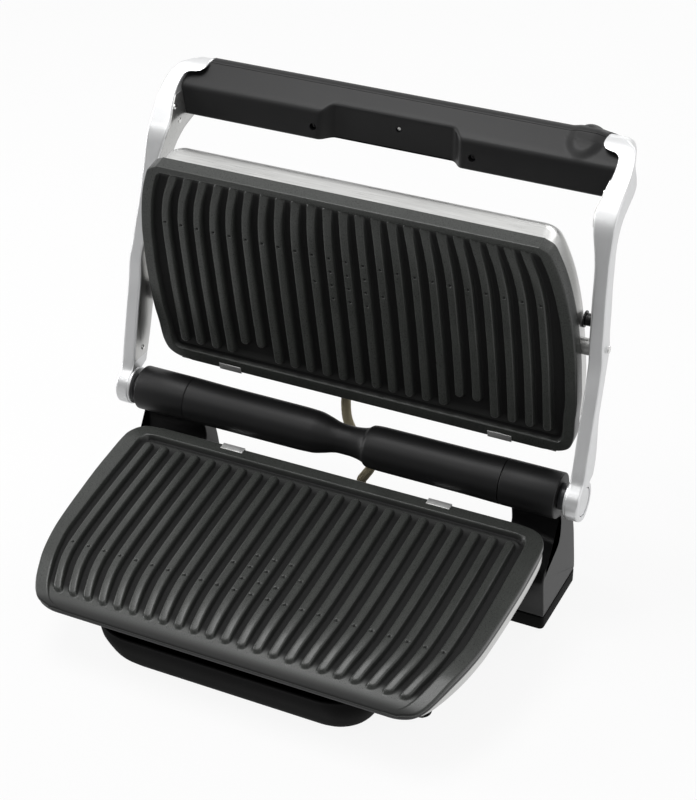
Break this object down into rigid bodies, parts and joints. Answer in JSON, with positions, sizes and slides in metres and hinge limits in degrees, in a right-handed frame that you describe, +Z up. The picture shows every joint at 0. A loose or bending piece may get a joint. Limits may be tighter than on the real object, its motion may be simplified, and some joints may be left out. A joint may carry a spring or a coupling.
{
  "type": "contact grill",
  "caption": "Countertop contact grill with a hinged lid: two ribbed non-stick plates in steel housings on a black base, a drip tray below and controls in the handle.",
  "frame": {"origin": "centre of the whole object's footprint, on the surface that it stands on", "axes": "+Z up, -Y towards the user at the front, +X to the user's right; the hinge line of the lid runs along X"},
  "size_m": [0.4624, 0.3832, 0.4195],
  "materials": {
    "nonstick_plate": "die-cast aluminium with a dark grey non-stick coat, satin",
    "brushed_steel": "brushed stainless sheet",
    "satin_silver": "satin silver lacquer on a moulding",
    "black_moulding": "fine-grained black moulding",
    "black_pin": "blackened steel",
    "bright_pin": "bright plated steel",
    "dark_bush": "self-lubricating polymer",
    "dark_button": "satin dark moulding",
    "dark_steel": "heat-tinted steel",
    "black_rubber": "matt black rubber",
    "clear_lens": "translucent diffuser",
    "green_board": "glass-fibre circuit board",
    "braided_sleeve": "braided glass-fibre sleeve"
  },
  "bodies": {
    "base": {"lower_plate": "nonstick_plate", "lower_housing": "brushed_steel", "lower_reflector": "brushed_steel", "lower_probe": "brushed_steel", "lower_bezel": "black_moulding", "right_tower": "black_moulding", "left_tower": "black_moulding", "hinge_tube": "black_moulding", "base_frame": "black_moulding", "base_cover": "black_moulding", "lower_clip_right": "bright_pin", "lower_clip_left": "bright_pin", "right_bush": "dark_bush", "left_bush": "dark_bush", "lower_element": "dark_steel", "lower_release_spring": "dark_steel", "lower_probe_spring": "dark_steel", "right_foot_pad": "black_rubber", "left_foot_pad": "black_rubber", "right_front_foot": "black_rubber", "left_front_foot": "black_rubber", "cord_gland": "black_rubber", "conduit": "braided_sleeve"},
    "lid_frame": {"right_arm": "satin_silver", "left_arm": "satin_silver", "right_arm_strip": "brushed_steel", "left_arm_strip": "brushed_steel", "right_hub_cap": "satin_silver", "left_hub_cap": "satin_silver", "right_hinge_shaft": "brushed_steel", "left_hinge_shaft": "brushed_steel", "right_stop_pin": "black_pin", "left_stop_pin": "black_pin", "handle_shell": "black_moulding", "handle_screw_left": "bright_pin", "handle_screw_right": "bright_pin", "handle_screw_middle": "bright_pin", "handle_cover": "black_moulding", "indicator_lens": "clear_lens", "control_board": "green_board"},
    "upper_grill": {"upper_housing": "brushed_steel", "upper_plate": "nonstick_plate", "upper_clip_right": "bright_pin", "upper_clip_left": "bright_pin", "upper_element": "dark_steel", "upper_reflector": "brushed_steel", "upper_probe": "brushed_steel", "upper_probe_spring": "dark_steel", "upper_release_spring": "dark_steel", "right_pivot_pin": "bright_pin", "left_pivot_pin": "bright_pin"},
    "tray": {"drip_tray": "black_moulding"},
    "lower_release": {"lower_release_button": "black_moulding"},
    "upper_release": {"upper_release_button": "black_moulding"},
    "power_key": {"power_button": "dark_button"},
    "frozen_food_key": {"frozen_food_button": "dark_button"},
    "program_key": {"program_button": "dark_button"},
    "confirm_key": {"confirm_button": "dark_button"}
  },
  "joints": [
    {"name": "lid_hinge", "type": "hinge", "parent": "base", "child": "lid_frame", "pos_m": [0, 0.05678, 0.128], "axis": [1, 0, 0], "range_deg": [0, 112.6], "deforming": ["conduit"]},
    {"name": "grill_pivot", "type": "hinge", "parent": "lid_frame", "child": "upper_grill", "pos_m": [0, 0.09446, 0.25962], "axis": [1, 0, 0], "range_deg": [-26.11, 0]},
    {"name": "tray_slide", "type": "slide", "parent": "base", "child": "tray", "axis": [0, -1, 0], "range_m": [0, 0.1]},
    {"name": "lower_release_push", "type": "slide", "parent": "base", "child": "lower_release", "axis": [1, 0, 0], "range_m": [0, 0.0025], "stiffness_N_per_m": 600, "springref_m": -0.001, "deforming": ["lower_release_spring"]},
    {"name": "upper_release_push", "type": "slide", "parent": "upper_grill", "child": "upper_release", "axis": [1, 0, 0], "range_m": [0, 0.0025], "stiffness_N_per_m": 600, "springref_m": -0.001, "deforming": ["upper_release_spring"]},
    {"name": "power_press", "type": "slide", "parent": "lid_frame", "child": "power_key", "axis": [0, -1, 0], "range_m": [0, 0.001], "stiffness_N_per_m": 400, "springref_m": -0.001},
    {"name": "frozen_food_press", "type": "slide", "parent": "lid_frame", "child": "frozen_food_key", "axis": [0, -1, 0], "range_m": [0, 0.001], "stiffness_N_per_m": 400, "springref_m": -0.001},
    {"name": "program_press", "type": "slide", "parent": "lid_frame", "child": "program_key", "axis": [0, -1, 0], "range_m": [0, 0.001], "stiffness_N_per_m": 400, "springref_m": -0.001},
    {"name": "confirm_press", "type": "slide", "parent": "lid_frame", "child": "confirm_key", "axis": [0, -1, 0], "range_m": [0, 0.001], "stiffness_N_per_m": 400, "springref_m": -0.001}
  ],
  "couplings": [
    {"joint": "grill_pivot", "follows": "lid_hinge", "ratio": -0.2318}
  ]
}
